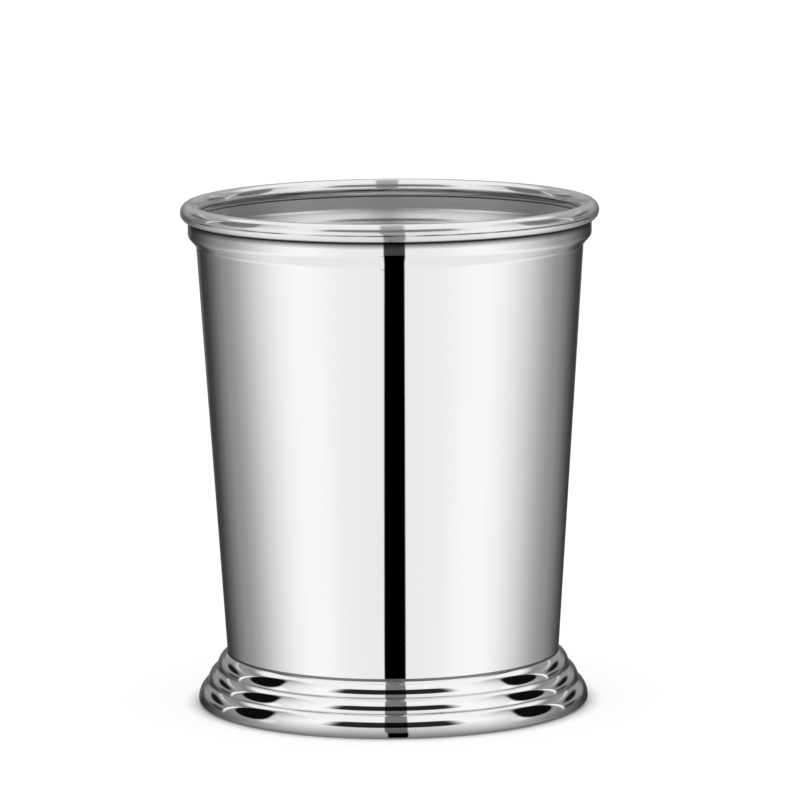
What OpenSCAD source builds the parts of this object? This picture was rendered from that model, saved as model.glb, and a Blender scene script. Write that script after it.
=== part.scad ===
// Julep cup in polished sheet metal: a tapered wall that flares into a short band,
// a round bead on the lip, a floor pressing set inside, and a foot of three stacked
// round ribs. Solder rings join the pieces. Every piece is turned about +Z, and the
// origin is the centre of the circle that the cup rests on.

/* [Whole cup] */
// Height from the table to the top of the bead
cup_h = 108; // [100:0.5:120]

/* [Wall] */
// Thickness of the wall sheet
wall_t = 0.8; // [0.6:0.1:1]
// Height of the wall's lower edge above the table
wall_low_z = 6; // [4:0.1:7]
// Outside diameter of the wall at its lower edge
wall_low_d = 70.6; // [68:0.1:71.6]
// Outside diameter of the wall where the flare starts
wall_flare_d = 82.5; // [81:0.1:83.5]
// Depth of the flare's start below the top of the cup
flare_drop = 9.1; // [8.5:0.1:11]
// Height of the flare, from its start up to the band
flare_h = 2; // [1.7:0.1:2.4]
// How far the flare carries the wall out, from its start to the band
flare_out = 1.75; // [1.4:0.05:2.2]
// Radius of both bends of the flare, on the side that each one curls away from
flare_bend_r = 1.6; // [1.2:0.1:2]

/* [Bead on the lip] */
// Diameter of the bead's round wire
bead_d = 4; // [3.4:0.1:4.6]
// Depth of the groove under the bead that takes the wall's upper edge
bead_groove_h = 1.6; // [1:0.1:2]

/* [Floor] */
// Thickness of the floor sheet
floor_t = 0.8; // [0.6:0.1:1]
// Height of the floor's turned-down edge, with the floor's own thickness
floor_edge_h = 2.5; // [2.2:0.1:4]
// Outer bend radius at the floor's edge
floor_bend_r = 1.2; // [1.1:0.1:1.5]

/* [Foot] */
// Thickness of the foot sheet
foot_t = 0.8; // [0.6:0.1:0.9]
// How far the upper rib stands out past the wall, where the rib is widest
upper_rib_out = 2.5; // [2.2:0.1:2.8]
// How far each rib below stands out past the one above it
rib_step = 2; // [1.8:0.1:2.2]
// Radius of the upper rib
upper_rib_r = 4; // [3.6:0.1:4.4]
// Radius of the middle rib
middle_rib_r = 3.8; // [3.5:0.1:4.2]
// Radius of the lower rib
lower_rib_r = 4.5; // [4.1:0.1:5]
// Height of the upper rib's widest circle above the table
upper_rib_z = 7.4; // [7:0.1:7.8]
// Height of the middle rib's widest circle above the table
middle_rib_z = 4.4; // [4.1:0.1:4.8]
// Outer bend radius of the resting edge
foot_edge_r = 1; // [0.95:0.05:1.3]
// Width of the flat ring that the cup rests on
rest_w = 2.4; // [1.5:0.1:3.5]

/* [Solder joints] */
// Width of the gap that the solder fills
solder_gap = 0.1; // [0.05:0.05:0.15]
// Fillet radius of the solder round the inside of the floor
floor_fillet_r = 1.5; // [1.4:0.1:2.5]
// How far the fillet's circle reaches into the floor and the wall, for a blunt edge
solder_bite = 0.02; // [0.01:0.01:0.03]
// How far the solder climbs the wall over and under the foot's upper edge
solder_climb = 0.5; // [0.3:0.05:0.7]

/* [Hidden] */
$fn = 160;
// How far a cut runs past what it cuts
overrun = 2;
// Straight steps that each bend of the flare is made of
bend_steps = 8;

// Heights of the wall
flare_z = cup_h - flare_drop;
band_z = flare_z + flare_h;
groove_top_z = cup_h - bead_d + bead_groove_h;
wall_top_z = groove_top_z - solder_gap;

// Lean of the wall's straight part and of its flare, as angles from upright
wall_slope = (wall_flare_d - wall_low_d) / 2 / (flare_z - wall_low_z);
wall_lean = atan(wall_slope);
flare_lean = atan(flare_out / flare_h);
band_r = wall_flare_d / 2 + flare_out;

// The bead sits over the middle of the band's sheet
bead_mid = [band_r - wall_t / 2, cup_h - bead_d / 2];
groove_half_w = wall_t / 2 + solder_gap;

// The floor's upright edge meets the wall's inner face, at the solder gap, at the lower edge
floor_r = wall_r(wall_low_z, wall_t) - solder_gap;
floor_top_z = wall_low_z + floor_edge_h;
floor_bend = [floor_r - floor_bend_r, floor_top_z - floor_bend_r];

// Centre of the fillet between the floor and the wall
floor_fillet_z = floor_top_z + floor_fillet_r - solder_bite;
floor_fillet = [wall_r(floor_fillet_z, wall_t + floor_fillet_r - solder_bite), floor_fillet_z];

// Section centres of the foot's ribs and of its resting edge
foot_r = wall_r(upper_rib_z, 0) + upper_rib_out + rib_step + rib_step;
edge_mid = [foot_r - foot_edge_r, foot_edge_r];
lower_rib = [foot_r - lower_rib_r, foot_edge_r];
middle_rib = [foot_r - rib_step - middle_rib_r, middle_rib_z];
upper_rib = [foot_r - rib_step - rib_step - upper_rib_r, upper_rib_z];
rest_in_r = edge_mid.x - rest_w;

// Corners of the foot's upper edge, cut to the wall at the solder gap
foot_cut_up = beside_wall(upper_rib_r);
foot_cut_low = beside_wall(upper_rib_r - foot_t);

// Radius at height z of the wall's straight part, at a depth inside its outer face
function wall_r(z, inset) =
    wall_low_d / 2 + (z - wall_low_z) * wall_slope - inset / cos(wall_lean);

// Direction out of the wall where it leans by this angle
function outward(lean) = [cos(lean), -sin(lean)];

// Points of a bend, at a depth inside the wall's outer face, that rounds the corner p. The
// face leans by the angle below under it and by the angle above over it. A radius above 0
// has its centre inside the wall, and one below 0 has it outside.
function bend(p, below, above, radius, inset) =
    let (
        half = (below + above) / 2,
        mid = p - radius / cos(half - below) * outward(half)
    )
    [for (i = [0 : bend_steps])
        mid + (radius - inset) * outward(below + (above - below) * i / bend_steps)];

// Place at the solder gap outside the wall, at a distance from the upper rib's centre
function beside_wall(distance) =
    let (
        across = wall_r(upper_rib.y, -solder_gap) - upper_rib.x,
        steep = 1 + wall_slope * wall_slope,
        rise = (sqrt(steep * distance * distance - across * across) - across * wall_slope) / steep
    )
    [wall_r(upper_rib.y + rise, -solder_gap), upper_rib.y + rise];

// Half section of all that lies inside the wall, at a depth inside its outer face
module wall_half(inset, low_z, high_z) {
    polygon(concat(
        [[0, low_z], [wall_r(low_z, inset), low_z]],
        bend([wall_flare_d / 2, flare_z], wall_lean, flare_lean, -flare_bend_r, inset),
        bend([band_r, band_z], flare_lean, 0, flare_bend_r, inset),
        [[band_r - inset, high_z], [0, high_z]]
    ));
}

// Half section of the wall sheet
module wall_section() {
    difference() {
        wall_half(0, wall_low_z, wall_top_z);
        wall_half(wall_t, wall_low_z - overrun, wall_top_z + overrun);
    }
}

// Half section of the groove under the bead, open downwards
module groove_section() {
    translate([bead_mid.x - groove_half_w, cup_h - bead_d - overrun])
        square([groove_half_w + groove_half_w, bead_groove_h + overrun]);
}

// Half section of all that lies inside the floor pressing, at a depth inside its outer face
module floor_half(inset, low_z) {
    translate([0, low_z]) square([floor_r - inset, floor_bend.y - low_z]);
    translate([0, low_z]) square([floor_bend.x, floor_top_z - inset - low_z]);
    translate(floor_bend) circle(floor_bend_r - inset);
}

// Half section of all that lies inside the foot, at a depth inside its outer face
module foot_half(inset) {
    roof_z = upper_rib.y + upper_rib_r - inset;
    translate([0, inset]) square([edge_mid.x, foot_edge_r - inset]);
    translate(edge_mid) circle(foot_edge_r - inset);
    intersection() {
        translate(lower_rib) circle(lower_rib_r - inset);
        translate([0, foot_edge_r]) square([foot_r, lower_rib_r]);
    }
    translate(middle_rib) circle(middle_rib_r - inset);
    translate(upper_rib) circle(upper_rib_r - inset);
    polygon([[0, foot_edge_r], lower_rib, middle_rib, upper_rib, [upper_rib.x, roof_z], [0, roof_z]]);
}

// Half section of the foot sheet, cut to the wall at the solder gap
module foot_section() {
    difference() {
        foot_half(0);
        foot_half(foot_t);
        wall_half(-solder_gap, foot_t, wall_top_z);
        translate([0, -overrun]) square([rest_in_r, overrun + foot_t]);
    }
}

module cup_wall() {
    color("silver") rotate_extrude() wall_section();
}

module rim_bead() {
    color("gainsboro") rotate_extrude() difference() {
        translate(bead_mid) circle(d = bead_d);
        groove_section();
    }
}

module cup_floor() {
    color("silver") rotate_extrude() difference() {
        floor_half(0, wall_low_z);
        floor_half(floor_t, wall_low_z - overrun);
    }
}

module foot_ring() {
    color("silver") rotate_extrude() foot_section();
}

// Solder that fills the bead's groove round the wall's upper edge
module rim_solder() {
    color("lightgray") rotate_extrude() difference() {
        intersection() {
            translate(bead_mid) circle(d = bead_d);
            groove_section();
        }
        wall_section();
    }
}

// Solder between the floor's edge and the wall, with a fillet round the inside
module floor_solder() {
    color("lightgray") rotate_extrude() difference() {
        polygon([
            [floor_fillet.x, wall_low_z],
            [wall_r(wall_low_z, wall_t), wall_low_z],
            [wall_r(floor_fillet.y, wall_t), floor_fillet.y],
            floor_fillet
        ]);
        translate(floor_fillet) circle(floor_fillet_r);
        floor_half(0, wall_low_z - overrun);
    }
}

// Solder between the wall and the foot's upper edge, which climbs the wall over and under it
module foot_solder() {
    high_z = foot_cut_up.y + solder_climb;
    low_z = foot_cut_low.y - solder_climb;
    color("lightgray") rotate_extrude() polygon([
        [wall_r(low_z, 0), low_z],
        foot_cut_low,
        foot_cut_up,
        [wall_r(high_z, 0), high_z]
    ]);
}

cup_wall();
rim_bead();
cup_floor();
foot_ring();
rim_solder();
floor_solder();
foot_solder();
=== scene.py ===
import math
import typing

import bmesh
import bpy
from mathutils import Matrix, Vector


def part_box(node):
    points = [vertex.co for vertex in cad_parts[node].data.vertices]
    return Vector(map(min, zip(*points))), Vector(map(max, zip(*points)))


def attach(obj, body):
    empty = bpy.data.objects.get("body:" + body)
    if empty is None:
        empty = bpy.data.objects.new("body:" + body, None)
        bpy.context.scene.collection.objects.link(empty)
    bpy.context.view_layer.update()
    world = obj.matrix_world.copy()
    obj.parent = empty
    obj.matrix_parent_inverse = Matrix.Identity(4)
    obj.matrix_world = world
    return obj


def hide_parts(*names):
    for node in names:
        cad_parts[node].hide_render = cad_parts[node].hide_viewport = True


bl_info = {
    "name": "Julep Cup",
    "version": (1, 0, 0),
    "blender": (4, 5, 0),
    "location": "View3D > Sidebar > Julep Cup",
    "description": "Turned sheet-metal cup with a beaded lip and a ribbed foot",
    "category": "Object",
}

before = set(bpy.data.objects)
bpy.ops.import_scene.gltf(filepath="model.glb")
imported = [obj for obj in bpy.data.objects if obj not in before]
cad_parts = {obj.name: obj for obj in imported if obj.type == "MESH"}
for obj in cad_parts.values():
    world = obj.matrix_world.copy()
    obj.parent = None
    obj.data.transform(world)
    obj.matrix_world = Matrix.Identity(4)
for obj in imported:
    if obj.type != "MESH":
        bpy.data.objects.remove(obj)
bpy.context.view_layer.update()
MM = 0.001
HALF_TURN = 180
DEGREES = HALF_TURN / math.pi
WALL_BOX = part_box("cup_wall")
BEAD_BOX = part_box("rim_bead")
FOOT_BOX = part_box("foot_ring")
BODY = "root"


# Sizes and finishes that a user would change


class CupSizes(bpy.types.PropertyGroup):
    """Sizes of the turned sections, the same as the solids that they dress"""

    sheet: bpy.props.FloatProperty(
        name="Sheet thickness",
        description="Thickness of the wall, floor and foot sheets",
        default=0.8 * MM, min=0.4 * MM, max=1.2 * MM, unit="LENGTH", precision=5,
    )
    wall_low_d: bpy.props.FloatProperty(
        name="Wall's lower diameter",
        description="Outside diameter of the wall at its lower edge",
        default=70.6 * MM, unit="LENGTH", precision=5,
    )
    wall_flare_d: bpy.props.FloatProperty(
        name="Wall's upper diameter",
        description="Outside diameter of the wall where the flare starts",
        default=82.5 * MM, unit="LENGTH", precision=5,
    )
    flare_drop: bpy.props.FloatProperty(
        name="Flare's depth",
        description="Depth of the flare's start below the top of the cup",
        default=9.1 * MM, unit="LENGTH", precision=5,
    )
    flare_h: bpy.props.FloatProperty(
        name="Flare's height",
        description="Height of the flare, from its start up to the band",
        default=2.0 * MM, unit="LENGTH", precision=5,
    )
    flare_out: bpy.props.FloatProperty(
        name="Flare's reach",
        description="How far the flare carries the wall out",
        default=1.75 * MM, unit="LENGTH", precision=5,
    )
    flare_bend_r: bpy.props.FloatProperty(
        name="Flare's bend radius",
        description="Radius of both bends of the flare",
        default=1.6 * MM, unit="LENGTH", precision=5,
    )
    bead_d: bpy.props.FloatProperty(
        name="Bead's thickness",
        description="Diameter of the bead's round wire",
        default=4.0 * MM, unit="LENGTH", precision=5,
    )
    groove_h: bpy.props.FloatProperty(
        name="Groove's depth",
        description="Depth of the groove under the bead",
        default=1.6 * MM, unit="LENGTH", precision=5,
    )
    floor_edge_h: bpy.props.FloatProperty(
        name="Floor's edge",
        description="Height of the floor's turned-down edge",
        default=2.5 * MM, unit="LENGTH", precision=5,
    )
    floor_bend_r: bpy.props.FloatProperty(
        name="Floor's bend radius",
        description="Outer bend radius at the floor's edge",
        default=1.2 * MM, unit="LENGTH", precision=5,
    )
    rib_step: bpy.props.FloatProperty(
        name="Rib step",
        description="How far each rib stands out past the one above it",
        default=2.0 * MM, unit="LENGTH", precision=5,
    )
    upper_rib_r: bpy.props.FloatProperty(
        name="Upper rib's radius",
        description="Radius of the foot's upper rib",
        default=4.0 * MM, unit="LENGTH", precision=5,
    )
    middle_rib_r: bpy.props.FloatProperty(
        name="Middle rib's radius",
        description="Radius of the foot's middle rib",
        default=3.8 * MM, unit="LENGTH", precision=5,
    )
    lower_rib_r: bpy.props.FloatProperty(
        name="Lower rib's radius",
        description="Radius of the foot's lower rib",
        default=4.5 * MM, unit="LENGTH", precision=5,
    )
    upper_rib_z: bpy.props.FloatProperty(
        name="Upper rib's height",
        description="Height of the upper rib's widest circle",
        default=7.4 * MM, unit="LENGTH", precision=5,
    )
    middle_rib_z: bpy.props.FloatProperty(
        name="Middle rib's height",
        description="Height of the middle rib's widest circle",
        default=4.4 * MM, unit="LENGTH", precision=5,
    )
    foot_edge_r: bpy.props.FloatProperty(
        name="Resting edge's radius",
        description="Outer bend radius of the foot's resting edge",
        default=1.0 * MM, unit="LENGTH", precision=5,
    )
    rest_w: bpy.props.FloatProperty(
        name="Resting ring's width",
        description="Width of the flat ring that the cup rests on",
        default=2.4 * MM, unit="LENGTH", precision=5,
    )
    crease_r: bpy.props.FloatProperty(
        name="Crease radius",
        description="Small radius left in the crease between two ribs",
        default=0.22 * MM, min=0.02 * MM, max=0.6 * MM, unit="LENGTH", precision=5,
    )
    solder_gap: bpy.props.FloatProperty(
        name="Solder gap",
        description="Width of the gap that the solder fills",
        default=0.1 * MM, unit="LENGTH", precision=5,
    )
    solder_climb: bpy.props.FloatProperty(
        name="Solder's climb",
        description="How far the solder climbs the wall at the foot's edge",
        default=0.5 * MM, unit="LENGTH", precision=5,
    )
    solder_bite: bpy.props.FloatProperty(
        name="Solder's bite",
        description="How far the fillet's circle reaches into the sheets",
        default=0.02 * MM, unit="LENGTH", precision=5,
    )
    fillet_r: bpy.props.FloatProperty(
        name="Floor fillet's radius",
        description="Fillet radius of the solder round the inside of the floor",
        default=1.5 * MM, unit="LENGTH", precision=5,
    )
    turns: bpy.props.IntProperty(
        name="Turn steps",
        description="Steps round the axis that each section is turned in",
        default=256, min=48, max=512,
    )
    bend_steps: bpy.props.IntProperty(
        name="Bend steps",
        description="Steps in each rounded bend of a section",
        default=10, min=3, max=32,
    )
    ring_gap: bpy.props.FloatProperty(
        name="Ring spacing",
        description="Spacing of the mesh rings along a section's straight parts",
        default=3.0 * MM, min=0.5 * MM, unit="LENGTH", precision=5,
    )


class CupFinishes(bpy.types.PropertyGroup):
    """Colours and polish of the metal"""

    mirror_colour: bpy.props.FloatVectorProperty(
        name="Polished metal",
        description="Colour of the mirror-polished sheet",
        default=(0.93, 0.93, 0.935), min=0.0, max=1.0, subtype="COLOR",
    )
    mirror_roughness: bpy.props.FloatProperty(
        name="Mirror roughness",
        description="Roughness of the mirror-polished sheet",
        default=0.02, min=0.0, max=1.0, subtype="FACTOR",
    )
    satin_colour: bpy.props.FloatVectorProperty(
        name="Satin metal",
        description="Colour of the satin inner wall and floor",
        default=(0.80, 0.80, 0.80), min=0.0, max=1.0, subtype="COLOR",
    )
    satin_roughness: bpy.props.FloatProperty(
        name="Satin roughness",
        description="Roughness of the satin inner wall and floor",
        default=0.3, min=0.0, max=1.0, subtype="FACTOR",
    )
    solder_colour: bpy.props.FloatVectorProperty(
        name="Solder",
        description="Colour of the solder",
        default=(0.36, 0.36, 0.355), min=0.0, max=1.0, subtype="COLOR",
    )
    solder_roughness: bpy.props.FloatProperty(
        name="Solder roughness",
        description="Roughness of the solder",
        default=0.3, min=0.0, max=1.0, subtype="FACTOR",
    )


class StudioSettings(bpy.types.PropertyGroup):
    """Camera and light of the studio"""

    camera_place: bpy.props.FloatVectorProperty(
        name="Camera place",
        description="Where the camera stands, from the middle of the foot",
        default=(0.0, -1.1887, 0.2434), subtype="TRANSLATION", unit="LENGTH", precision=4,
    )
    camera_pitch: bpy.props.FloatProperty(
        name="Camera pitch",
        description="How far the camera looks down",
        default=0.1489, subtype="ANGLE",
    )
    camera_yaw: bpy.props.FloatProperty(
        name="Camera yaw",
        description="How far the camera looks to the right",
        default=0.0016, subtype="ANGLE", precision=4,
    )
    camera_roll: bpy.props.FloatProperty(
        name="Camera roll",
        description="How far the camera leans to the left",
        default=-0.0078, subtype="ANGLE", precision=4,
    )
    lens: bpy.props.FloatProperty(
        name="Lens",
        description="Focal length on a 36 mm sensor, in millimetres",
        default=252.9, min=20.0, max=600.0,
    )
    lamp_power: bpy.props.FloatProperty(
        name="Top panel's power",
        description="Power of the soft panel above the cup",
        default=0.6, min=0.0, unit="POWER",
    )


# Sections: lists of (radius, height) points

# Steps in the round of the bead and of a rib, as multiples of the steps of a plain bend
BEAD_BENDS = 6
RIB_BENDS = 2
# Distance from a bend, in sheet thicknesses, at which a straight part has a ring of its own,
# so that the shading of the bend stays in the bend
CLOSE_SHEETS = 1 / 8
# Shortest straight part that has such rings, as a multiple of that distance
CLOSE_ROOM = 4


def outward(lean):
    """Direction out of the wall where it leans by this angle from upright."""
    return Vector((math.cos(lean), -math.sin(lean)))


def arc(mid, radius, start, end, steps):
    """Points on a circle from one angle to another, both included."""
    return [
        Vector(mid) + radius * Vector((math.cos(a), math.sin(a)))
        for a in (start + (end - start) * i / steps for i in range(steps + 1))
    ]


def angle_of(mid, point):
    """Angle of a point as seen from a centre."""
    d = Vector(point) - Vector(mid)
    return math.atan2(d.y, d.x)


def crossing(mid_a, radius_a, mid_b, radius_b):
    """Where two circles cross, on the right of the way from the first centre to the second."""
    a, b = Vector(mid_a), Vector(mid_b)
    d = b - a
    along = (d.length_squared + radius_a**2 - radius_b**2) / (2 * d.length)
    across = math.sqrt(radius_a**2 - along**2)
    u = d.normalized()
    return a + u * along + Vector((u.y, -u.x)) * across


def sag(a, b, corner, steps):
    """A curve from a to b that sags halfway towards the corner between them."""
    pull = a.lerp(b, 0.5).lerp(corner, 0.5)
    return [
        a * (1 - t) ** 2 + pull * 2 * t * (1 - t) + b * t**2
        for t in (i / steps for i in range(steps + 1))
    ]


def closed(points):
    """The same points with the first one again at the end."""
    return points + [points[0]]


class Plan:
    """Heights, radii and centres that the sections share, from the sizes and the frame."""

    def __init__(self, s):
        self.s = s
        self.close = CLOSE_SHEETS * s.sheet
        self.top = BEAD_BOX[1].z
        self.low = WALL_BOX[0].z
        self.wall_top = WALL_BOX[1].z
        self.flare_z = self.top - s.flare_drop
        self.band_z = self.flare_z + s.flare_h
        self.slope = (s.wall_flare_d - s.wall_low_d) / 2 / (self.flare_z - self.low)
        self.lean = math.atan(self.slope)
        self.flare_lean = math.atan(s.flare_out / s.flare_h)
        self.band_r = s.wall_flare_d / 2 + s.flare_out
        self.bead_mid = Vector((self.band_r - s.sheet / 2, self.top - s.bead_d / 2))
        self.groove_half = s.sheet / 2 + s.solder_gap
        self.groove_top = self.top - s.bead_d + s.groove_h
        self.crease_z = self.bead_mid.y - math.sqrt((s.bead_d / 2) ** 2 - self.groove_half**2)
        self.floor_r = self.wall_r(self.low, s.sheet) - s.solder_gap
        self.floor_top = self.low + s.floor_edge_h
        self.floor_bend = Vector((self.floor_r - s.floor_bend_r, self.floor_top - s.floor_bend_r))
        foot_r = FOOT_BOX[1].x
        self.edge_mid = Vector((foot_r - s.foot_edge_r, s.foot_edge_r))
        self.lower = Vector((foot_r - s.lower_rib_r, s.foot_edge_r))
        self.middle = Vector((foot_r - s.rib_step - s.middle_rib_r, s.middle_rib_z))
        self.upper = Vector((foot_r - 2 * s.rib_step - s.upper_rib_r, s.upper_rib_z))
        self.rest_in = self.edge_mid.x - s.rest_w
        self.cut_up = self.beside_wall(s.upper_rib_r)
        self.cut_low = self.beside_wall(s.upper_rib_r - s.sheet)

    def straight(self, a, b):
        """Points from a towards b, without b, at the ring spacing and close to each end."""
        a, b = Vector(a), Vector(b)
        length = (b - a).length
        count = max(1, math.ceil(length / self.s.ring_gap))
        shares = {i / count for i in range(count)}
        if length > CLOSE_ROOM * self.close:
            shares |= {self.close / length, 1 - self.close / length}
        return [a.lerp(b, t) for t in sorted(shares)]

    def wall_r(self, z, inset):
        """Radius of the wall's straight part at a height, at a depth inside its outer face."""
        return self.s.wall_low_d / 2 + (z - self.low) * self.slope - inset / math.cos(self.lean)

    def on_wall(self, z, inset=0.0):
        """Place on the wall's straight part at a height, at a depth inside its outer face."""
        return Vector((self.wall_r(z, inset), z))

    def beside_wall(self, distance):
        """Place at the solder gap outside the wall, at a distance from the upper rib's centre."""
        across = self.wall_r(self.upper.y, -self.s.solder_gap) - self.upper.x
        steep = 1 + self.slope**2
        rise = (math.sqrt(steep * distance**2 - across**2) - across * self.slope) / steep
        return self.on_wall(self.upper.y + rise, -self.s.solder_gap)

    def flare_bend(self, corner, below, above, radius, inset):
        """Points that round a corner of the wall, at a depth inside its outer face."""
        half = (below + above) / 2
        mid = Vector(corner) - radius / math.cos(half - below) * outward(half)
        steps = self.s.bend_steps
        return [
            mid + (radius - inset) * outward(below + (above - below) * i / steps)
            for i in range(steps + 1)
        ]

    def wall_face(self, inset):
        """The wall from its lower edge up to its upper edge, at a depth inside its outer face."""
        s = self.s
        corner, band_corner = (s.wall_flare_d / 2, self.flare_z), (self.band_r, self.band_z)
        first = self.flare_bend(corner, self.lean, self.flare_lean, -s.flare_bend_r, inset)
        second = self.flare_bend(band_corner, self.flare_lean, 0.0, s.flare_bend_r, inset)
        end = Vector((self.band_r - inset, self.wall_top))
        return (
            self.straight(self.on_wall(self.low, inset), first[0])
            + first
            + self.straight(first[-1], second[0])[1:]
            + second
            + self.straight(second[-1], end)[1:]
            + [end]
        )


def wall_section(p):
    """The wall sheet, up its outer face and down its inner one."""
    return closed(p.wall_face(0.0) + p.wall_face(p.s.sheet)[::-1])


def bead_section(p):
    """The bead's round, with the groove that opens downwards."""
    s = p.s
    drop = math.acos(p.groove_half / (s.bead_d / 2))
    steps = BEAD_BENDS * s.bend_steps
    groove = [Vector((p.bead_mid.x + x, p.groove_top)) for x in (-p.groove_half, p.groove_half)]
    return closed(arc(p.bead_mid, s.bead_d / 2, -drop, math.pi + drop, steps) + groove)


def rim_solder_section(p):
    """The solder in the bead's groove, on both sides and on top of the wall's edge."""
    out, face = p.groove_half, p.s.sheet / 2
    low, high, edge = p.crease_z, p.groove_top, p.wall_top
    corners = (
        (out, low), (out, high), (-out, high), (-out, low),
        (-face, low), (-face, edge), (face, edge), (face, low),
    )
    return closed([Vector((p.bead_mid.x + x, z)) for x, z in corners])


def floor_section(p):
    """The floor pressing, out along its underside and back along its top."""
    s = p.s
    right = math.pi / 2
    axis_low, axis_top = Vector((0.0, p.floor_top - s.sheet)), Vector((0.0, p.floor_top))
    edge_in, edge_out = Vector((p.floor_r - s.sheet, p.low)), Vector((p.floor_r, p.low))
    inner = arc(p.floor_bend, s.floor_bend_r - s.sheet, right, 0.0, s.bend_steps)
    outer = arc(p.floor_bend, s.floor_bend_r, 0.0, right, s.bend_steps)
    return (
        p.straight(axis_low, inner[0])
        + inner
        + p.straight(inner[-1], edge_in)[1:]
        + [edge_in, edge_out]
        + p.straight(edge_out, outer[0])[1:]
        + outer
        + p.straight(outer[-1], axis_top)[1:]
        + [axis_top]
    )


def floor_solder_section(p):
    """The solder between the floor's edge and the wall, with its fillet on top."""
    s = p.s
    off = s.fillet_r - s.solder_bite
    mid = p.on_wall(p.floor_top + off, s.sheet + off)
    reach = math.acos(off / s.fillet_r)
    foot = crossing(p.floor_bend, s.floor_bend_r, mid, s.fillet_r)
    fillet = arc(mid, s.fillet_r, -p.lean - reach, angle_of(mid, foot), s.bend_steps)
    along_floor = arc(p.floor_bend, s.floor_bend_r, angle_of(p.floor_bend, foot), 0.0, s.bend_steps)
    return closed(
        fillet + along_floor[1:] + [Vector((p.floor_r, p.low)), p.on_wall(p.low, s.sheet)]
    )


def foot_face(p, inset, crease):
    """The foot from its resting ring up to its cut edge, with its creases rounded."""
    s = p.s
    ribs = (
        (p.lower, s.lower_rib_r - inset),
        (p.middle, s.middle_rib_r - inset),
        (p.upper, s.upper_rib_r - inset),
    )
    steps = RIB_BENDS * s.bend_steps
    points = arc(p.edge_mid, s.foot_edge_r - inset, -math.pi / 2, 0.0, s.bend_steps)
    start = 0.0
    for (mid, radius), (above, above_radius) in zip(ribs, ribs[1:]):
        fillet = crossing(mid, radius + crease, above, above_radius + crease)
        stop = angle_of(mid, fillet)
        points += arc(mid, radius, start, stop, steps)[1:]
        start = angle_of(above, fillet)
        if crease:
            crease_steps = s.bend_steps // 2 + 1
            points += arc(fillet, crease, stop + math.pi, start + math.pi, crease_steps)[1:]
    mid, radius = ribs[-1]
    end = angle_of(mid, p.cut_low if inset else p.cut_up)
    return points + arc(mid, radius, start, end, steps)[1:]


def foot_section(p):
    """The foot sheet, out along its resting ring, up its outer face and down its inner one."""
    outside = foot_face(p, 0.0, p.s.crease_r)
    inside = foot_face(p, p.s.sheet, 0.0)
    low, high = Vector((p.rest_in, 0.0)), Vector((p.rest_in, p.s.sheet))
    return closed(
        p.straight(low, outside[0])
        + outside
        + inside[::-1]
        + p.straight(inside[0], high)[1:]
        + [high]
    )


def foot_solder_section(p):
    """The solder at the foot's cut edge, hollow over the foot and under it."""
    s = p.s
    wall_up = p.on_wall(p.cut_up.y + s.solder_climb)
    wall_low = p.on_wall(p.cut_low.y - s.solder_climb)
    over = sag(p.cut_up, wall_up, p.on_wall(p.cut_up.y), s.bend_steps)
    under = sag(wall_low, p.cut_low, p.on_wall(p.cut_low.y), s.bend_steps)
    return closed(over + under)


# Nodes: short ways to fill a tree


def feed(tree, socket, value):
    """Gives a socket a plain value, or a link from another socket."""
    if isinstance(value, bpy.types.NodeSocket):
        tree.links.new(value, socket)
    else:
        socket.default_value = value


def add_node(tree, kind, values=None, **settings):
    """A node with its settings, and with values or links for its inputs by name or number."""
    node = tree.nodes.new(kind)
    for key, value in settings.items():
        setattr(node, key, value)
    for key, value in (values or {}).items():
        feed(tree, node.inputs[key], value)
    return node


def maths(tree, kind, *values, clamp=False):
    """The result of a Math node."""
    node = add_node(tree, "ShaderNodeMath", dict(enumerate(values)), operation=kind, use_clamp=clamp)
    return node.outputs[0]


def product(tree, first, *others):
    """The product of all the values."""
    for other in others:
        first = maths(tree, "MULTIPLY", first, other)
    return first


def hypotenuse(tree, a, b):
    """The root of the sum of two squares."""
    squares = maths(tree, "ADD", maths(tree, "MULTIPLY", a, a), maths(tree, "MULTIPLY", b, b))
    return maths(tree, "SQRT", squares)


def remap(tree, value, start, end, low=0.0, high=1.0, kind="LINEAR"):
    """A value that goes from low to high as another goes from start to end."""
    values = {"Value": value, "From Min": start, "From Max": end, "To Min": low, "To Max": high}
    return add_node(tree, "ShaderNodeMapRange", values, interpolation_type=kind).outputs[0]


def fade(tree, value, start, end, low=0.0, high=1.0):
    """The same as remap, eased at both ends."""
    return remap(tree, value, start, end, low, high, "SMOOTHSTEP")


def noise(tree, place, scale, **values):
    """The value of a Noise Texture node at a place."""
    values = {"Vector": place, "Scale": scale, **values}
    return add_node(tree, "ShaderNodeTexNoise", values).outputs["Fac"]


def joined(tree, x, y, z):
    """A vector from its three parts."""
    return add_node(tree, "ShaderNodeCombineXYZ", {"X": x, "Y": y, "Z": z}).outputs[0]


def shader_mix(tree, share, first, second):
    """A mix of two shaders, by the share of the second."""
    return add_node(tree, "ShaderNodeMixShader", {0: share, 1: first, 2: second}).outputs[0]


# Turning: a node tree that turns a section about the axis

# Points this close are merged at the seam and on the axis
SEAM_DISTANCE = 0.001 * MM
# Edges shorter than this are taken out of the turned mesh
SLIVER = 0.00001 * MM
# Edges bent by more than this stay sharp
SHARP_ANGLE = math.radians(24)


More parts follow.
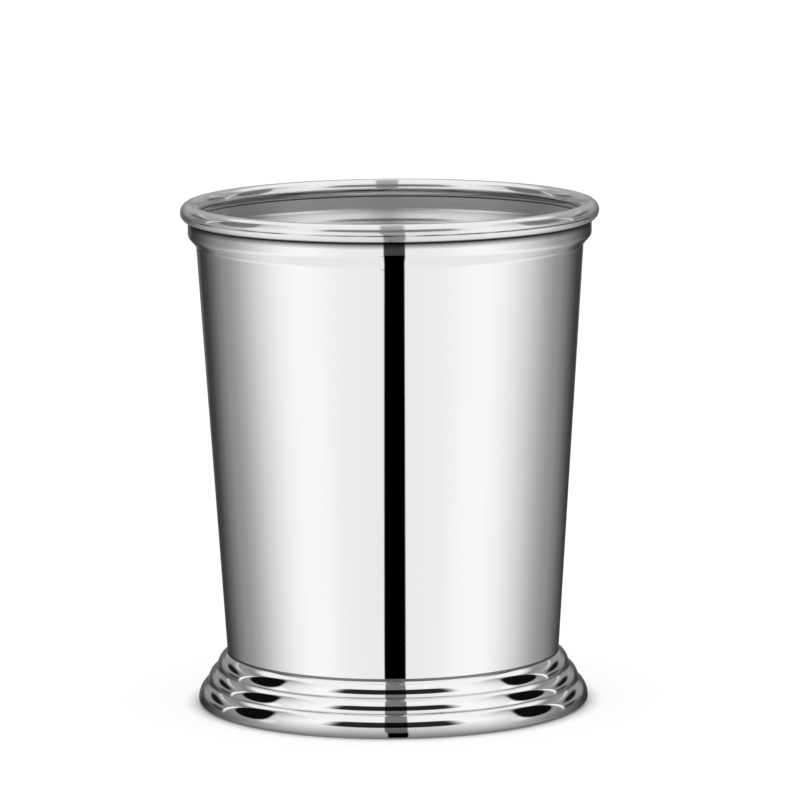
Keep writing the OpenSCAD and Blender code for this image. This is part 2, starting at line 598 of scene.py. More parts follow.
def turning_tree():
    """A Geometry Nodes tree that turns a line of points in the XZ plane about +Z."""
    name = "Turn a section"
    if name in bpy.data.node_groups:
        return bpy.data.node_groups[name]
    tree = bpy.data.node_groups.new(name, "GeometryNodeTree")
    face = tree.interface
    face.new_socket(name="Section", in_out="INPUT", socket_type="NodeSocketGeometry")
    steps = face.new_socket(name="Turn steps", in_out="INPUT", socket_type="NodeSocketInt")
    steps.default_value, steps.min_value = 256, 3
    merge = face.new_socket(name="Seam distance", in_out="INPUT", socket_type="NodeSocketFloat")
    merge.default_value, merge.subtype = SEAM_DISTANCE, "DISTANCE"
    face.new_socket(name="Finish", in_out="INPUT", socket_type="NodeSocketMaterial")
    face.new_socket(name="Turned piece", in_out="OUTPUT", socket_type="NodeSocketGeometry")
    given = add_node(tree, "NodeGroupInput").outputs
    made = add_node(tree, "NodeGroupOutput").inputs

    # A grid one unit wide has a column for each point of the section and a row for each turn step
    domain = add_node(tree, "GeometryNodeAttributeDomainSize", {"Geometry": given["Section"]})
    count = domain.outputs["Point Count"]
    rows = maths(tree, "ADD", given["Turn steps"], 1)
    grid = add_node(
        tree, "GeometryNodeMeshGrid",
        {"Size X": 1.0, "Size Y": 1.0, "Vertices X": count, "Vertices Y": rows},
    )
    place = add_node(tree, "GeometryNodeInputPosition").outputs[0]
    across, along, _ = add_node(tree, "ShaderNodeSeparateXYZ", {0: place}).outputs
    last = maths(tree, "SUBTRACT", count, 1)
    column = maths(tree, "ROUND", product(tree, maths(tree, "ADD", across, 0.5), last))
    turn = product(tree, maths(tree, "ADD", along, 0.5), 2 * math.pi)

    # Each point of the grid moves to its column's point of the section, turned as its row says
    sample = add_node(
        tree, "GeometryNodeSampleIndex",
        {"Geometry": given["Section"], "Value": place, "Index": column},
        data_type="FLOAT_VECTOR", domain="POINT",
    )
    radius, _, height = add_node(tree, "ShaderNodeSeparateXYZ", {0: sample.outputs[0]}).outputs
    x = product(tree, radius, maths(tree, "COSINE", turn))
    y = product(tree, radius, maths(tree, "SINE", turn))
    shape = grid.outputs["Mesh"]
    for kind, values in (
        ("GeometryNodeSetPosition", {"Position": joined(tree, x, y, height)}),
        ("GeometryNodeMergeByDistance", {"Distance": given["Seam distance"]}),
        ("GeometryNodeSetShadeSmooth", {}),
        ("GeometryNodeRealizeInstances", {}),
        ("GeometryNodeSetMaterial", {"Material": given["Finish"]}),
    ):
        shape = add_node(tree, kind, {"Geometry": shape, **values}).outputs[0]
    tree.links.new(shape, made["Turned piece"])
    return tree


def turned_mesh(name, points, finish):
    """A plain closed mesh, made by turning a section."""
    line = bpy.data.meshes.new(name + "_section")
    line.from_pydata(
        [(p[0], 0.0, p[1]) for p in points], [(i, i + 1) for i in range(len(points) - 1)], []
    )
    maker = bpy.data.objects.new(name + "_maker", line)
    bpy.context.scene.collection.objects.link(maker)
    tree = turning_tree()
    modifier = maker.modifiers.new("Turn", "NODES")
    modifier.node_group = tree
    turns = bpy.context.scene.cup_sizes.turns
    values = {"Turn steps": turns, "Seam distance": SEAM_DISTANCE, "Finish": finish}
    for item in tree.interface.items_tree:
        if item.in_out == "INPUT" and item.name in values:
            modifier[item.identifier] = values[item.name]
    graph = bpy.context.evaluated_depsgraph_get()
    mesh = bpy.data.meshes.new_from_object(maker.evaluated_get(graph))
    maker.modifiers.remove(modifier)
    bpy.data.objects.remove(maker)
    bpy.data.meshes.remove(line)
    if not mesh.polygons:
        raise RuntimeError(name + ": the section gave no faces")

    b = bmesh.new()
    b.from_mesh(mesh)
    bmesh.ops.dissolve_degenerate(b, dist=SLIVER, edges=b.edges)
    bmesh.ops.recalc_face_normals(b, faces=b.faces)
    if any(not e.is_manifold for e in b.edges):
        raise RuntimeError(name + ": the turned mesh isn't closed")
    b.to_mesh(mesh)
    b.free()
    mesh.name = name
    mesh.set_sharp_from_angle(angle=SHARP_ANGLE)
    return mesh


def turned_piece(name, node, points, finish, inner=None, inner_test=None):
    """Turns a section into a piece that stands for a CAD node.

    Where the test is true for a face's centre and normal, the face has the inner finish.
    """
    mesh = turned_mesh(name, points, finish)
    mesh.materials.clear()
    mesh.materials.append(finish)
    if inner is not None:
        mesh.materials.append(inner)
    for face in mesh.polygons:
        face.material_index = int(inner is not None and inner_test(face.center, face.normal))
    piece = bpy.data.objects.new(name, mesh)
    bpy.context.scene.collection.objects.link(piece)
    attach(piece, BODY)
    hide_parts(node)
    return piece


# Finishes: node groups for what several metals share

# Spin lines across a sheet, per metre where the line scale is 1, and the height of their relief
LINE_SCALE = 1400.0
LINE_RELIEF = 0.02 * MM
# Turn of the hair scratches, and how slowly their noise is read along them
HAIR_TURN = (0.5, 0.9, 0.3)
HAIR_STRETCH = (1.0, 0.03, 1.0)
# Blotches of lighter and darker metal, per metre
TONE_SCALE = 22.0
# Range of the noise in which a smear, a hair scratch or a dash of a dark line comes in
SMEAR_EDGE = (0.48, 0.78)
HAIR_EDGE = (0.70, 0.78)
DASH_EDGE = (0.42, 0.56)
# Roughness of the dull metal that makes a haze
HAZE_ROUGHNESS = 0.5


def group_tree(name, inputs, outputs):
    """A new shader node group with named float sockets, and those sockets inside it."""
    tree = bpy.data.node_groups.new(name, "ShaderNodeTree")
    for label, value in inputs.items():
        socket = tree.interface.new_socket(name=label, in_out="INPUT", socket_type="NodeSocketFloat")
        socket.default_value = value
    for label in outputs:
        tree.interface.new_socket(name=label, in_out="OUTPUT", socket_type="NodeSocketFloat")
    return tree, add_node(tree, "NodeGroupInput").outputs, add_node(tree, "NodeGroupOutput").inputs


def place_on_piece(tree):
    """A place in the piece's own coordinates, whole and as x, y and z, in metres."""
    where = add_node(tree, "ShaderNodeTexCoord").outputs["Object"]
    x, y, z = add_node(tree, "ShaderNodeSeparateXYZ", {0: where}).outputs
    return where, x, y, z


def spin_lines_group():
    """Fine lines that run round a turned sheet, as a height and as a change of roughness."""
    name = "Spin lines"
    if name in bpy.data.node_groups:
        return bpy.data.node_groups[name]
    tree, given, made = group_tree(
        name, {"Line scale": 1.0, "Breakup": 0.3}, ["Height", "Sheen change"]
    )
    _, x, y, z = place_on_piece(tree)
    across = joined(
        tree,
        product(tree, hypotenuse(tree, x, y), LINE_SCALE),
        product(tree, maths(tree, "ARCTAN2", y, x), given["Breakup"]),
        product(tree, z, LINE_SCALE),
    )
    lines = noise(tree, across, given["Line scale"], Detail=4.0, Roughness=0.65)
    tree.links.new(lines, made["Height"])
    tree.links.new(maths(tree, "SUBTRACT", lines, 0.5), made["Sheen change"])
    return tree


def handling_group():
    """Faint smears and fine hair scratches from wiping, and a blotchy tone, as masks."""
    name = "Handling marks"
    if name in bpy.data.node_groups:
        return bpy.data.node_groups[name]
    tree, given, made = group_tree(
        name, {"Smear scale": 45.0, "Scratch scale": 900.0}, ["Smears", "Scratches", "Tone"]
    )
    where = place_on_piece(tree)[0]
    cloud = noise(tree, where, given["Smear scale"], Detail=3.0, Distortion=1.2)
    stretch = add_node(
        tree, "ShaderNodeMapping", {"Rotation": HAIR_TURN, "Scale": HAIR_STRETCH, "Vector": where}
    )
    hairs = noise(tree, stretch.outputs[0], given["Scratch scale"], Detail=2.0)
    tree.links.new(fade(tree, cloud, *SMEAR_EDGE), made["Smears"])
    tree.links.new(remap(tree, hairs, *HAIR_EDGE), made["Scratches"])
    tree.links.new(noise(tree, where, TONE_SCALE), made["Tone"])
    return tree


def crease_group():
    """A painted shade that gathers towards one height of the piece, as a factor of its colour."""
    name = "Crease shade"
    if name in bpy.data.node_groups:
        return bpy.data.node_groups[name]
    tree, given, made = group_tree(
        name, {"Crease height": 0.0, "Clear height": 1.0 * MM, "Darkest": 0.0}, ["Factor"]
    )
    z = place_on_piece(tree)[3]
    factor = remap(tree, z, given["Crease height"], given["Clear height"], given["Darkest"])
    tree.links.new(factor, made["Factor"])
    return tree


def dark_line_group():
    """A thin broken dark line painted round the piece at one height, as a factor of its colour:
    painted shade in the foot's creases and a painted reflection on the bead.
    """
    name = "Dark line"
    if name in bpy.data.node_groups:
        return bpy.data.node_groups[name]
    tree, given, made = group_tree(
        name,
        {
            "Line height": 0.0, "Half width": 0.2 * MM, "Depth": 0.5, "Least": 0.15, "Seed": 0.0,
            "Dash size": 14.0 * MM,
        },
        ["Factor"],
    )
    _, x, y, z = place_on_piece(tree)
    off = maths(tree, "ABSOLUTE", maths(tree, "SUBTRACT", z, given["Line height"]))
    line = fade(tree, off, given["Half width"], 0.0)
    dash_x, dash_y = (maths(tree, "DIVIDE", v, given["Dash size"]) for v in (x, y))
    dashes = noise(tree, joined(tree, dash_x, dash_y, given["Seed"]), 1.0, Detail=1.0)
    broken = fade(tree, dashes, *DASH_EDGE, given["Least"])
    depth = product(tree, line, broken, given["Depth"])
    tree.links.new(maths(tree, "SUBTRACT", 1.0, depth), made["Factor"])
    return tree


def metal(
    name, colour, roughness, tone, smear=0.0, scratch=0.0, relief=0.0, line_scale=1.0, sheen=0.0,
    shades=(), haze=0.0,
):
    """A metal with handling marks and spin lines.

    Tone, smear, scratch and sheen say how far the marks and lines change its colour and roughness,
    and relief how strongly the lines stand out. Each shade is painted shade or a painted reflection
    that darkens the colour by a node group, and is the function that makes the group with values for
    its inputs. Haze is the share of dull metal mixed in.
    """
    if name in bpy.data.materials:
        return bpy.data.materials[name]
    made = bpy.data.materials.new(name)
    made.use_nodes = True
    tree = made.node_tree
    shader = tree.nodes["Principled BSDF"]
    marks = add_node(tree, "ShaderNodeGroup", node_tree=handling_group()).outputs
    scale = {"Line scale": line_scale}
    spin = add_node(tree, "ShaderNodeGroup", scale, node_tree=spin_lines_group()).outputs

    darker, lighter = ([min(1.0, c * share) for c in colour] for share in (1 - tone, 1 + tone))
    tint = {"A": (*darker, 1.0), "B": (*lighter, 1.0), "Factor": marks["Tone"]}
    base = add_node(tree, "ShaderNodeMix", tint, data_type="RGBA").outputs["Result"]
    for group, values in shades:
        shade = add_node(tree, "ShaderNodeGroup", values, node_tree=group()).outputs["Factor"]
        scaled = {0: base, "Scale": shade}
        base = add_node(tree, "ShaderNodeVectorMath", scaled, operation="SCALE").outputs[0]
    rough = roughness
    for mask, span in (
        (marks["Smears"], smear), (marks["Scratches"], scratch), (spin["Sheen change"], sheen),
    ):
        rough = maths(tree, "MULTIPLY_ADD", mask, span, rough)
    for label, value in (("Metallic", 1.0), ("Base Color", base), ("Roughness", rough)):
        feed(tree, shader.inputs[label], value)

    if relief:
        lines = {"Strength": relief, "Distance": LINE_RELIEF, "Height": spin["Height"]}
        bump = add_node(tree, "ShaderNodeBump", lines)
        tree.links.new(bump.outputs["Normal"], shader.inputs["Normal"])
    if haze:
        dull = add_node(
            tree, "ShaderNodeBsdfPrincipled",
            {"Metallic": 1.0, "Roughness": HAZE_ROUGHNESS, "Base Color": base},
        )
        both = shader_mix(tree, haze, shader.outputs[0], dull.outputs[0])
        tree.links.new(both, tree.nodes["Material Output"].inputs["Surface"])
    return made


def mirror_finish(name, shades, soften=0.0, haze=0.0):
    """The mirror-polished sheet and bead."""
    f = bpy.context.scene.cup_finishes
    return metal(
        name, f.mirror_colour, f.mirror_roughness + soften, tone=0.012, smear=0.012, scratch=0.02,
        shades=shades, haze=haze,
    )


def satin_finish():
    """The satin spun metal inside the cup."""
    f = bpy.context.scene.cup_finishes
    return metal(
        "satin_spun", f.satin_colour, f.satin_roughness, tone=0.03, smear=0.04, relief=0.12, sheen=0.1
    )


def plain_finish():
    """The unpolished sheet under the floor and inside the foot."""
    f = bpy.context.scene.cup_finishes
    return metal(
        "unpolished_sheet", f.satin_colour, f.satin_roughness + 0.1, tone=0.05, smear=0.1,
        relief=0.35, line_scale=0.6, sheen=0.2,
    )


def solder_finish(name="solder_metal", shade_factor=1.0):
    """The solder, darkened by painted shade where its shade factor is under 1."""
    f = bpy.context.scene.cup_finishes
    colour = [c * shade_factor for c in f.solder_colour]
    return metal(name, colour, f.solder_roughness, tone=0.08, smear=0.15)


# Pieces: an operator for each piece, and one for the solder

# Painted shade in the crease under the bead: how far from the crease it starts to thin out, how far
# from it the wall and the bead are clear, and the share of their colour left in it
CREASE_SHADE_START = 0.12 * MM
WALL_CLEAR = 1.35 * MM
BEAD_CLEAR = 0.55 * MM
CREASE_SHADE_TONE = 0.01
# Painted reflection: a dark broken line painted round the bead, a little below its middle
PAINTED_LINE_DROP = 0.3 * MM
PAINTED_REFLECTION_LINE = {"Half width": 0.26 * MM, "Depth": 0.9, "Least": 0.15, "Seed": 8.1}
# Painted shade on the foot, darker towards the table, and painted shade in the two creases between
# its ribs
FOOT_SHADE = {"Crease height": 0.4 * MM, "Clear height": 2.9 * MM, "Darkest": 0.28}
FOOT_CREASE_SHADE = {"Half width": 0.35 * MM, "Depth": 0.62, "Least": 0.6}
FOOT_SEEDS = (2.0, 5.0)
# Share of the colour left to the solder round the foot's upper edge by painted shade in that crease
FOOT_SOLDER_SHADE = 0.6
# Upright part of a normal, past which its face counts as level
LEVEL = 0.5
# Sheet thicknesses from an outer face that are sure to reach past the inner one
PAST_SHEET = 1.5


def painted_crease_shade(start, clear):
    """Painted shade in the crease under the bead, darkening the metal between two heights."""
    return crease_group, {"Crease height": start, "Clear height": clear, "Darkest": CREASE_SHADE_TONE}


def faces_axis(centre, normal):
    """Whether a face looks towards the axis."""
    return normal.x * centre.x + normal.y * centre.y < 0


class CUP_OT_wall(bpy.types.Operator):
    """Make the tapered wall sheet with its flare and band"""

    bl_idname = "cup.make_wall"
    bl_label = "Make Wall"

    def execute(self, context):
        p = Plan(context.scene.cup_sizes)
        # Painted shade in the crease under the bead, darker towards the crease on the wall's band
        crease_shade = painted_crease_shade(p.crease_z - CREASE_SHADE_START, p.crease_z - WALL_CLEAR)
        turned_piece(
            "wall_sheet", "cup_wall", wall_section(p), mirror_finish("wall_polish", [crease_shade]),
            satin_finish(), faces_axis,
        )
        return {"FINISHED"}


class CUP_OT_bead(bpy.types.Operator):
    """Make the round bead on the lip"""

    bl_idname = "cup.make_bead"
    bl_label = "Make Bead"

    def execute(self, context):
        p = Plan(context.scene.cup_sizes)
        # Painted shade in the crease under the bead, and a dark line painted round the bead as a
        # painted reflection
        shades = [
            painted_crease_shade(p.crease_z + CREASE_SHADE_START, p.crease_z + BEAD_CLEAR),
            (dark_line_group, {"Line height": p.bead_mid.y - PAINTED_LINE_DROP, **PAINTED_REFLECTION_LINE}),
        ]
        polish = mirror_finish("lip_polish", shades, soften=0.03, haze=0.4)
        turned_piece("lip_bead", "rim_bead", bead_section(p), polish)
        return {"FINISHED"}


class CUP_OT_floor(bpy.types.Operator):
    """Make the floor pressing inside the wall"""

    bl_idname = "cup.make_floor"
    bl_label = "Make Floor"

    def execute(self, context):
        p = Plan(context.scene.cup_sizes)
        edge_z = p.floor_top - PAST_SHEET * p.s.sheet
        turned_piece(
            "floor_pressing", "cup_floor", floor_section(p), satin_finish(),
            plain_finish(), lambda centre, normal: normal.z < -LEVEL or centre.z < edge_z,
        )
        return {"FINISHED"}


class CUP_OT_foot(bpy.types.Operator):
    """Make the foot of three stacked ribs"""

    bl_idname = "cup.make_foot"
    bl_label = "Make Foot"

    def execute(self, context):
        p = Plan(context.scene.cup_sizes)
        s = p.s
        creases = (
            crossing(p.lower, s.lower_rib_r, p.middle, s.middle_rib_r),
            crossing(p.middle, s.middle_rib_r, p.upper, s.upper_rib_r),
        )
        # Painted shade on the foot, darker towards the table and in the two creases between the ribs
        shades = [(crease_group, FOOT_SHADE)]
        for crease, seed in zip(creases, FOOT_SEEDS):
            shades.append((dark_line_group, {"Line height": crease.y, "Seed": seed, **FOOT_CREASE_SHADE}))

        def inside(centre, normal):
            on_ring = normal.z > LEVEL and centre.z < PAST_SHEET * s.sheet
            return faces_axis(centre, normal) or on_ring

        turned_piece(
            "foot_ribs", "foot_ring", foot_section(p), mirror_finish("foot_polish", shades),
            plain_finish(), inside,
        )
        return {"FINISHED"}


class CUP_OT_solder(bpy.types.Operator):
    """Make the three solder rings that join the sheets"""

    bl_idname = "cup.make_solder"
    bl_label = "Make Solder"

    def execute(self, context):
        p = Plan(context.scene.cup_sizes)
        # The solder round the foot's upper edge is darkened as painted shade in that crease
        shaded = solder_finish("shaded_solder", FOOT_SOLDER_SHADE)
        for name, node, points, finish in (
            ("lip_solder", "rim_solder", rim_solder_section(p), solder_finish()),
            ("floor_fillet", "floor_solder", floor_solder_section(p), solder_finish()),
            ("foot_fillet", "foot_solder", foot_solder_section(p), shaded),
        ):
            turned_piece(name, node, points, finish)
        return {"FINISHED"}


# Studio: what the polished metal mirrors, in degrees of azimuth away from the front and of
# elevation. A change is (start, end), or (start, end, value at the start, value at the end).

# Brightness of the ring of panels round the cup, by azimuth
PANEL_RAMP = (
    (0, 0.88), (20, 0.89), (32, 0.92), (42, 0.97), (52, 1.0), (62, 0.98), (72, 0.90), (82, 0.77),
    (92, 0.62), (102, 0.46), (112, 0.34), (124, 0.26), (136, 0.16), (148, 0.08), (158, 0.05),
    (167, 0.06), (180, 0.16),
)
# Share of the half turn at which the ring is cut off, exactly behind the cup
RING_END = 0.98
# Scale of the azimuth at which the ring is read. Over 1 it darkens sooner away from the front.
# It changes by elevation near the horizon and low down, and by the sideways direction.
RING_LEVEL = (-12.0, -8.0, 1.0, 1.07)
RING_LOW = (-30.0, -19.0, 0.8, 1.0)
RING_SIDE = (-0.2, 0.2, 1.0, 0.96)

# Dim rear walls that come in by elevation, and the streaks on them, by azimuth and elevation
REAR_WALL = (-6.0, 10.0, 0.0, 0.24)
STREAKS_ROUND = 0.055
STREAKS_UP = 0.10
STREAK_TONE = (0.35, 0.65, 0.6, 1.5)


class Window(typing.NamedTuple):
    """A soft-edged card or window on both sides of the cup, with its places in degrees"""

    centre: tuple
    half: tuple
    tone: float
    softness: float
    square: float = 2.0
    skew: float = 0.0


# In the order in which each covers those before it
WINDOWS = (
    # the grey glow behind each side, with a dark card and a slanting bright slit in it
    Window((139, 19), (23, 16), 0.30, softness=0.5),
    Window((137, 15), (13, 5), 0.01, softness=0.35, skew=0.5),
    Window((143, 24), (18, 1.3), 0.6, softness=0.5, skew=1.5),
    # a low dark card, a bright glow at the side and an upright bright slit behind it
    Window((127, 2.5), (9, 4), 0.06, softness=0.5),
    Window((80, 9), (7, 8), 1.0, softness=0.5),
    Window((117, 16), (1.7, 17), 1.0, softness=0.4, square=3.0, skew=-0.1),
    # the black card at each side, and the wide one high in front
    Window((99, 26), (16, 21), 0.004, softness=0.12, square=2.1, skew=0.25),
    Window((0, 36), (42, 14.5), 0.02, softness=0.16, square=6.0),
)

# The bright ceiling by elevation, how many degrees lower it hangs at the back by azimuth, and
# the pale table straight down
CEILING = (50.0, 58.0)
CEILING_DROP = (104.0, 122.0, 0.0, 16.0)
CEILING_TONE = 0.95
TABLE_BELOW = (-30.0, -58.0)
TABLE_TONE = 0.86

# The narrow dark flag in front: the offset that sets how it narrows on its way back over the
# cup, its middle, half width and soft edge sideways, and how far it shifts and widens in a band
# low down, between its top and its end, and high up, all by elevation
FLAG_OFFSET = 0.989
FLAG_MIDDLE = 0.022
FLAG_HALF = 0.052
FLAG_SOFT = 0.004
FLAG_LOW_TOP = (-14.5, -18.5)
FLAG_LOW_END = (-20.5, -19.5)
FLAG_LOW_SHIFT = -0.011
FLAG_LOW_WIDEN = 0.011
FLAG_HIGH = (-8.0, 4.0)
FLAG_HIGH_SHIFT = -0.010
FLAG_HIGH_WIDEN = 0.006
# Where the flag fades out towards the back, and the light left in it by elevation
FLAG_FADE = (0.2, 0.6)
FLAG_LIGHT = (-10.5, -1.0, 0.0, 0.2)
# Least divisors, which keep the flag's sums away from zero
LEAST_ACROSS = 0.001
LEAST_FACING = 0.01

# The white backdrop seen low behind the cup, by azimuth and between two elevations
BACKDROP_BEHIND = (168.0, 179.0, 0.0, 0.3)
BACKDROP_LOW = (-15.0, -13.0)
BACKDROP_HIGH = (-8.5, -10.0)
# The plain pale room that lights what isn't mirrored, by elevation
ROOM = (15.0, 60.0, 0.3, 1.3)
WHITE = (1.0, 1.0, 1.0, 1.0)

# The table: its half width and its drop under the cup, its grain, its glow for the camera and
# for mirrors, and the shade close to the cup by its reach, its exponent and the light left in it
TABLE_HALF = 3.0
TABLE_DROP = 0.1 * MM
GRAIN_SCALE = 40.0
GRAIN_TONE = (0.0, 1.0, 0.93, 0.95)
GLOW_STRENGTH = 1.55
GLOW_SHARE = 0.27
CONTACT_REACH = 3.4 * MM
CONTACT_SAMPLES = 12
CONTACT_POWER = 1.3
CONTACT_LIGHT = 0.28
CONTACT_SPAN = 0.72

# The soft panel above the cup, and the camera's sensor in millimetres and its reach
PANEL_D = 0.9
PANEL_PLACE = (0.0, -0.15, 0.8)
SENSOR_W = 36.0
CAMERA_REACH = (0.05, 50.0)


def window_group():
    """The mask of a soft-edged window, from azimuth and elevation in degrees."""
    tree, given, made = group_tree(
        "Studio window",
        {
            "Azimuth": 0.0, "Elevation": 0.0, "Centre azimuth": 0.0, "Centre elevation": 0.0,
            "Half width": 10.0, "Half height": 10.0, "Softness": 0.2, "Squareness": 2.0,
        },
        ["Mask"],
    )

    def share(value, centre, half):
        off = maths(tree, "ABSOLUTE", maths(tree, "SUBTRACT", given[value], given[centre]))
        return maths(tree, "POWER", maths(tree, "DIVIDE", off, given[half]), given["Squareness"])

    total = maths(
        tree, "ADD", share("Azimuth", "Centre azimuth", "Half width"),
        share("Elevation", "Centre elevation", "Half height"),
    )
    edge = maths(tree, "POWER", total, maths(tree, "DIVIDE", 1.0, given["Squareness"]))
    outer = maths(tree, "ADD", 1.0, given["Softness"])
    inner = maths(tree, "SUBTRACT", 1.0, given["Softness"])
    tree.links.new(fade(tree, edge, outer, inner), made["Mask"])
    return tree


def blend(tree, share, level, to):
    """A level that is moved to another one by a share."""
    values = {"Factor": share, "A": level, "B": to}
    return add_node(tree, "ShaderNodeMix", values).outputs["Result"]


def panel_ring(tree, away, elevation, x):
    """The ring of panels, by azimuth away from the front."""
    ramp = add_node(tree, "ShaderNodeValToRGB")
    ramp.color_ramp.interpolation = "CARDINAL"
    stops = ramp.color_ramp.elements
    for i, (degrees, level) in enumerate(PANEL_RAMP):
        stop = stops[i] if i < 2 else stops.new(degrees / HALF_TURN)
        stop.position = degrees / HALF_TURN
        stop.color = (level, level, level, 1.0)
    scale = product(
        tree, remap(tree, elevation, *RING_LEVEL), remap(tree, x, *RING_SIDE),
        remap(tree, elevation, *RING_LOW),
    )
    turned = product(tree, maths(tree, "DIVIDE", away, HALF_TURN), scale)
    tree.links.new(maths(tree, "MINIMUM", turned, RING_END), ramp.inputs[0])
    return ramp.outputs["Color"]


def rear_walls(tree, away, elevation):
    """The dim rear walls with their streaks."""
    place = joined(
        tree, product(tree, away, STREAKS_ROUND), product(tree, elevation, STREAKS_UP), 0.0
    )
    streaks = noise(tree, place, 1.0, Detail=2.0, Distortion=0.8)
    return product(tree, fade(tree, elevation, *REAR_WALL), remap(tree, streaks, *STREAK_TONE))


def front_flag(tree, x, y, z, elevation):
    """The mask of the narrow dark flag that arches from the front over the cup."""
    across = maths(tree, "MAXIMUM", hypotenuse(tree, y, z), LEAST_ACROSS)
    facing = maths(tree, "SUBTRACT", FLAG_OFFSET, maths(tree, "DIVIDE", y, across))
    aside = maths(tree, "DIVIDE", x, maths(tree, "MAXIMUM", facing, LEAST_FACING))
    low = product(
        tree, remap(tree, elevation, *FLAG_LOW_TOP), remap(tree, elevation, *FLAG_LOW_END)
    )
    high = remap(tree, elevation, *FLAG_HIGH)
    middle = maths(tree, "MULTIPLY_ADD", low, FLAG_LOW_SHIFT, FLAG_MIDDLE)
    middle = maths(tree, "MULTIPLY_ADD", high, FLAG_HIGH_SHIFT, middle)
    half = maths(tree, "MULTIPLY_ADD", low, FLAG_LOW_WIDEN, FLAG_HALF)
    half = maths(tree, "MULTIPLY_ADD", high, FLAG_HIGH_WIDEN, half)
    off = maths(tree, "ABSOLUTE", maths(tree, "SUBTRACT", aside, middle))
    mask = fade(tree, maths(tree, "SUBTRACT", off, half), FLAG_SOFT, -FLAG_SOFT)
    return product(tree, mask, fade(tree, facing, *FLAG_FADE))


def mirrored_level(tree, x, y, z, away, elevation):
    """The brightness of all that the polished metal mirrors."""
    level = panel_ring(tree, away, elevation, x)
    level = maths(tree, "MAXIMUM", level, rear_walls(tree, away, elevation))
    shared = window_group()
    for w in WINDOWS:
        rise = maths(tree, "SUBTRACT", elevation, w.centre[1])
        azimuth = maths(tree, "ADD", away, product(tree, rise, -w.skew))
        values = {
            "Azimuth": azimuth, "Elevation": elevation,
            "Centre azimuth": w.centre[0], "Centre elevation": w.centre[1],
            "Half width": w.half[0], "Half height": w.half[1],
            "Softness": w.softness, "Squareness": w.square,
        }
        mask = add_node(tree, "ShaderNodeGroup", values, node_tree=shared).outputs["Mask"]
        level = blend(tree, mask, level, w.tone)
    sky = maths(tree, "ADD", elevation, fade(tree, away, *CEILING_DROP))
    level = blend(tree, fade(tree, sky, *CEILING), level, CEILING_TONE)
    level = blend(tree, fade(tree, elevation, *TABLE_BELOW), level, TABLE_TONE)
    dark = product(tree, level, fade(tree, elevation, *FLAG_LIGHT))
    return blend(tree, front_flag(tree, x, y, z, elevation), level, dark)


def studio_world(context):
    """The studio for polished metal, a white backdrop and a plain pale room for all else."""
    world = bpy.data.worlds.new("Studio")
    context.scene.world = world
    world.use_nodes = True
    tree = world.node_tree
    tree.nodes.clear()
    where = add_node(tree, "ShaderNodeTexCoord").outputs["Generated"]
    x, y, z = add_node(tree, "ShaderNodeSeparateXYZ", {0: where}).outputs
    turn = maths(tree, "ARCTAN2", x, product(tree, y, -1.0))
    away = maths(tree, "ABSOLUTE", product(tree, turn, DEGREES))
    elevation = product(tree, maths(tree, "ARCSINE", z), DEGREES)
    level = mirrored_level(tree, x, y, z, away, elevation)

    paths = add_node(tree, "ShaderNodeLightPath").outputs
    mirrored = maths(
        tree, "ADD", paths["Is Glossy Ray"], paths["Is Transmission Ray"], clamp=True
    )
    behind = product(
        tree, fade(tree, away, *BACKDROP_BEHIND), fade(tree, elevation, *BACKDROP_LOW),
        fade(tree, elevation, *BACKDROP_HIGH),
    )
    backdrop = maths(
        tree, "ADD", paths["Is Camera Ray"], product(tree, mirrored, behind), clamp=True
    )
    studio, room, white = (
        add_node(tree, "ShaderNodeBackground", {"Color": colour}).outputs[0]
        for colour in (level, fade(tree, elevation, *ROOM), WHITE)
    )
    shown = shader_mix(tree, mirrored, room, studio)
    shown = shader_mix(tree, backdrop, shown, white)
    add_node(tree, "ShaderNodeOutputWorld", {"Surface": shown})


def table_material():
    """A white table that keeps the cup's soft shadow."""
    made = bpy.data.materials.new("white_table")
    made.use_nodes = True
    tree = made.node_tree
    tree.nodes.clear()
    grain = add_node(tree, "ShaderNodeTexNoise", {"Scale": GRAIN_SCALE}).outputs["Fac"]
    colour = remap(tree, grain, *GRAIN_TONE)
    board = add_node(tree, "ShaderNodeBsdfDiffuse", {"Color": colour}).outputs[0]
    glow = add_node(tree, "ShaderNodeEmission", {"Strength": GLOW_STRENGTH}).outputs[0]
    dark = add_node(tree, "ShaderNodeEmission", {"Strength": 0.0}).outputs[0]

    paths = add_node(tree, "ShaderNodeLightPath").outputs
    seen = maths(tree, "ADD", paths["Is Glossy Ray"], paths["Is Transmission Ray"])
    seen = maths(tree, "ADD", seen, paths["Is Camera Ray"], clamp=True)
    lit = shader_mix(tree, product(tree, seen, GLOW_SHARE), board, glow)
    contact = add_node(
        tree, "ShaderNodeAmbientOcclusion", {"Distance": CONTACT_REACH}, samples=CONTACT_SAMPLES
    )
    openness = maths(tree, "POWER", contact.outputs["AO"], CONTACT_POWER)
    light = maths(tree, "MULTIPLY_ADD", openness, CONTACT_SPAN, CONTACT_LIGHT)
    add_node(tree, "ShaderNodeOutputMaterial", {"Surface": shader_mix(tree, light, dark, lit)})
    return made


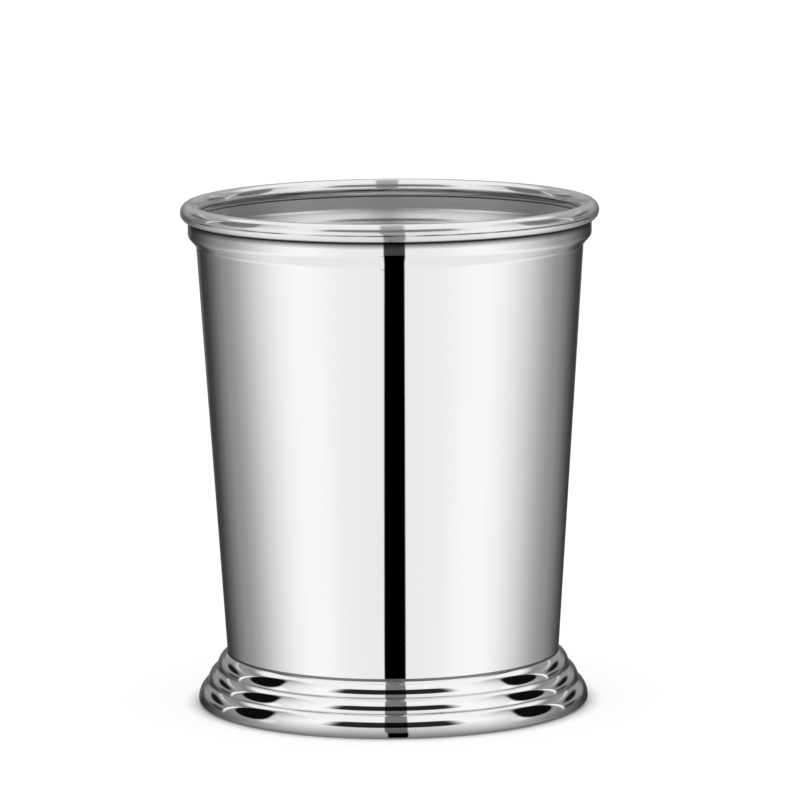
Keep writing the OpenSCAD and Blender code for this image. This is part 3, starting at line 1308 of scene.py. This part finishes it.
class CUP_OT_stage(bpy.types.Operator):
    """Make the table, the studio light and the camera"""

    bl_idname = "cup.make_stage"
    bl_label = "Make Stage"

    def execute(self, context):
        s = context.scene.cup_studio
        mesh = bpy.data.meshes.new("table")
        corners = ((-1, -1), (1, -1), (1, 1), (-1, 1))
        mesh.from_pydata(
            [(x * TABLE_HALF, y * TABLE_HALF, -TABLE_DROP) for x, y in corners], [], [(0, 1, 2, 3)]
        )
        mesh.materials.append(table_material())
        table = bpy.data.objects.new("table", mesh)
        context.scene.collection.objects.link(table)
        table.visible_glossy = False

        studio_world(context)
        lamp = bpy.data.lights.new("top_panel", "AREA")
        lamp.shape, lamp.size, lamp.energy = "DISK", PANEL_D, s.lamp_power
        panel = bpy.data.objects.new("top_panel", lamp)
        panel.location = PANEL_PLACE
        panel.rotation_euler = (math.atan2(PANEL_PLACE[1], PANEL_PLACE[2]), 0.0, 0.0)
        panel.visible_glossy = False
        context.scene.collection.objects.link(panel)

        camera = bpy.data.cameras.new("camera")
        camera.sensor_width, camera.lens = SENSOR_W, s.lens
        camera.clip_start, camera.clip_end = CAMERA_REACH
        eye = bpy.data.objects.new("camera", camera)
        pitch, yaw, roll = s.camera_pitch, s.camera_yaw, s.camera_roll
        forward = Vector(
            (math.sin(yaw) * math.cos(pitch), math.cos(yaw) * math.cos(pitch), -math.sin(pitch))
        )
        right = Vector((math.cos(yaw), -math.sin(yaw), 0.0))
        up = right.cross(forward)
        level_right = math.cos(roll) * right + math.sin(roll) * up
        level_up = -math.sin(roll) * right + math.cos(roll) * up
        turn = Matrix((level_right, level_up, -forward)).transposed()
        eye.matrix_world = Matrix.Translation(s.camera_place) @ turn.to_4x4()
        context.scene.collection.objects.link(eye)
        context.scene.camera = eye
        context.scene.view_settings.view_transform = "Standard"
        return {"FINISHED"}


class CUP_PT_panel(bpy.types.Panel):
    """Lists the cup's pieces and its stage"""

    bl_idname = "CUP_PT_panel"
    bl_label = "Julep Cup"
    bl_space_type = "VIEW_3D"
    bl_region_type = "UI"
    bl_category = "Julep Cup"

    def draw(self, context):
        for step in STEPS:
            self.layout.operator(step.bl_idname)
        for group in (context.scene.cup_sizes, context.scene.cup_finishes, context.scene.cup_studio):
            box = self.layout.box()
            for label in group.__annotations__:
                box.prop(group, label)


STEPS = (CUP_OT_wall, CUP_OT_bead, CUP_OT_floor, CUP_OT_foot, CUP_OT_solder, CUP_OT_stage)
CLASSES = (CupSizes, CupFinishes, StudioSettings, *STEPS, CUP_PT_panel)


def register():
    for c in CLASSES:
        bpy.utils.register_class(c)
    bpy.types.Scene.cup_sizes = bpy.props.PointerProperty(type=CupSizes)
    bpy.types.Scene.cup_finishes = bpy.props.PointerProperty(type=CupFinishes)
    bpy.types.Scene.cup_studio = bpy.props.PointerProperty(type=StudioSettings)


def unregister():
    for label in ("cup_sizes", "cup_finishes", "cup_studio"):
        delattr(bpy.types.Scene, label)
    for c in reversed(CLASSES):
        bpy.utils.unregister_class(c)


def main():
    register()
    bpy.ops.cup.make_wall()
    bpy.ops.cup.make_bead()
    bpy.ops.cup.make_floor()
    bpy.ops.cup.make_foot()
    bpy.ops.cup.make_solder()
    bpy.ops.cup.make_stage()


if __name__ == "__main__":
    main()
